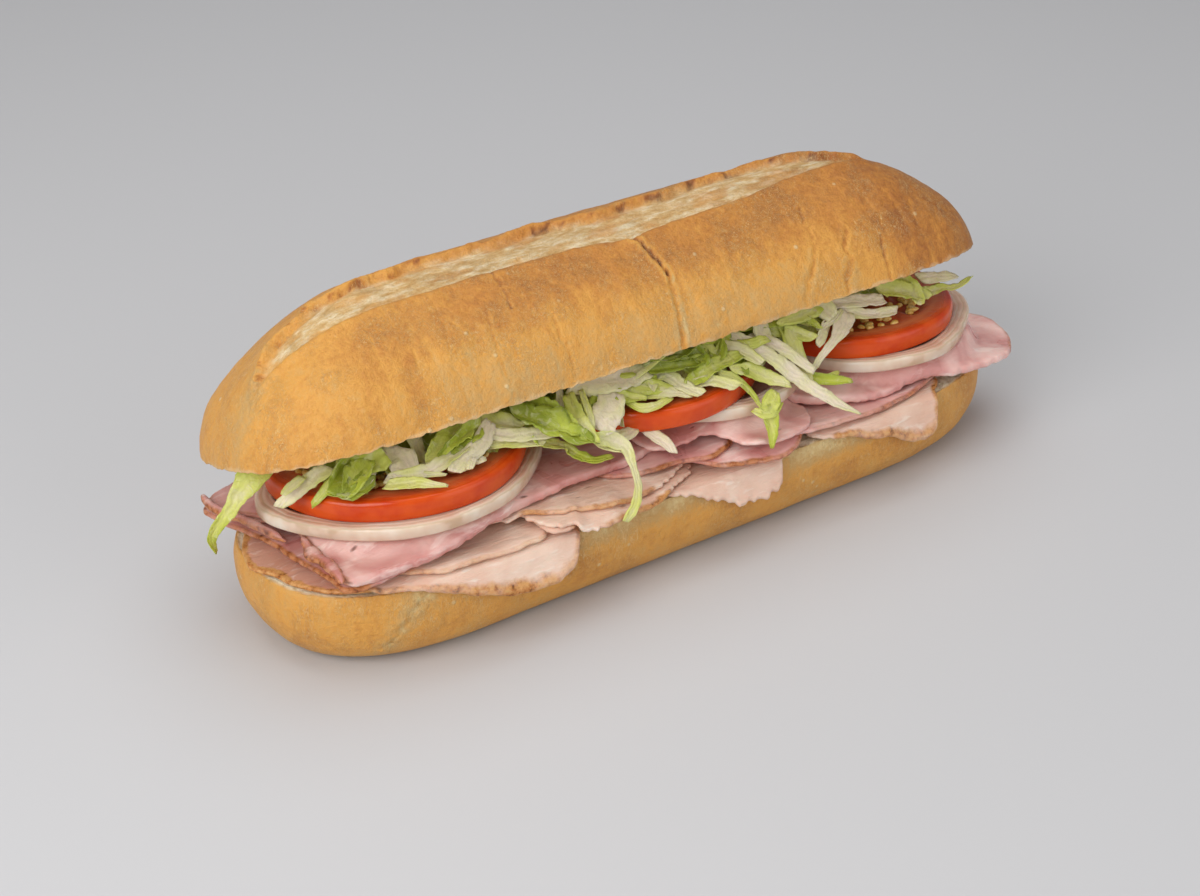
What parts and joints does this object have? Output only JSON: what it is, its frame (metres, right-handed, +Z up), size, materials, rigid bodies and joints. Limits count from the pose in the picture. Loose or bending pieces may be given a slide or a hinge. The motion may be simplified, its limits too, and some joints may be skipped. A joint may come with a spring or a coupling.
{
  "type": "submarine sandwich",
  "caption": "Long soft roll split lengthwise and held open at the front, filled with sliced turkey, folded ham, onion rings, tomato slices and shredded lettuce.",
  "frame": {"origin": "middle of the bounding box at the level of the flat base of the roll's heel", "axes": "+X along the roll, -Y towards the open front, +Z up"},
  "size_m": [0.2412, 0.0794, 0.0843],
  "materials": {
    "crust": "baked golden crust, matt to slightly satin",
    "turkey": "moist sliced meat with a browned edge",
    "ham": "moist pink sliced meat with an orange-brown rind",
    "onion": "wet and translucent",
    "tomato": "shiny skin and wet cut face",
    "lettuce": "crisp waxy leaf"
  },
  "bodies": {
    "root": {"roll_heel": "crust", "roll_crown": "crust", "turkey_end_left": "turkey", "turkey_low_left": "turkey", "turkey_low_right": "turkey", "turkey_far_right": "turkey", "turkey_up_left": "turkey", "turkey_fold_left": "turkey", "turkey_mid_lower": "turkey", "turkey_mid_upper": "turkey", "ham_mid_second": "ham", "ham_mid_front": "ham", "ham_left_lower": "ham", "ham_left_fold": "ham", "ham_right_lower": "ham", "ham_mid_top": "ham", "ham_right_fold": "ham", "onion_ring_left": "onion", "onion_ring_mid": "onion", "onion_ring_right": "onion", "tomato_slice_left": "tomato", "tomato_slice_mid": "tomato", "tomato_slice_right": "tomato", "shredded_lettuce": "lettuce"}
  },
  "joints": []
}
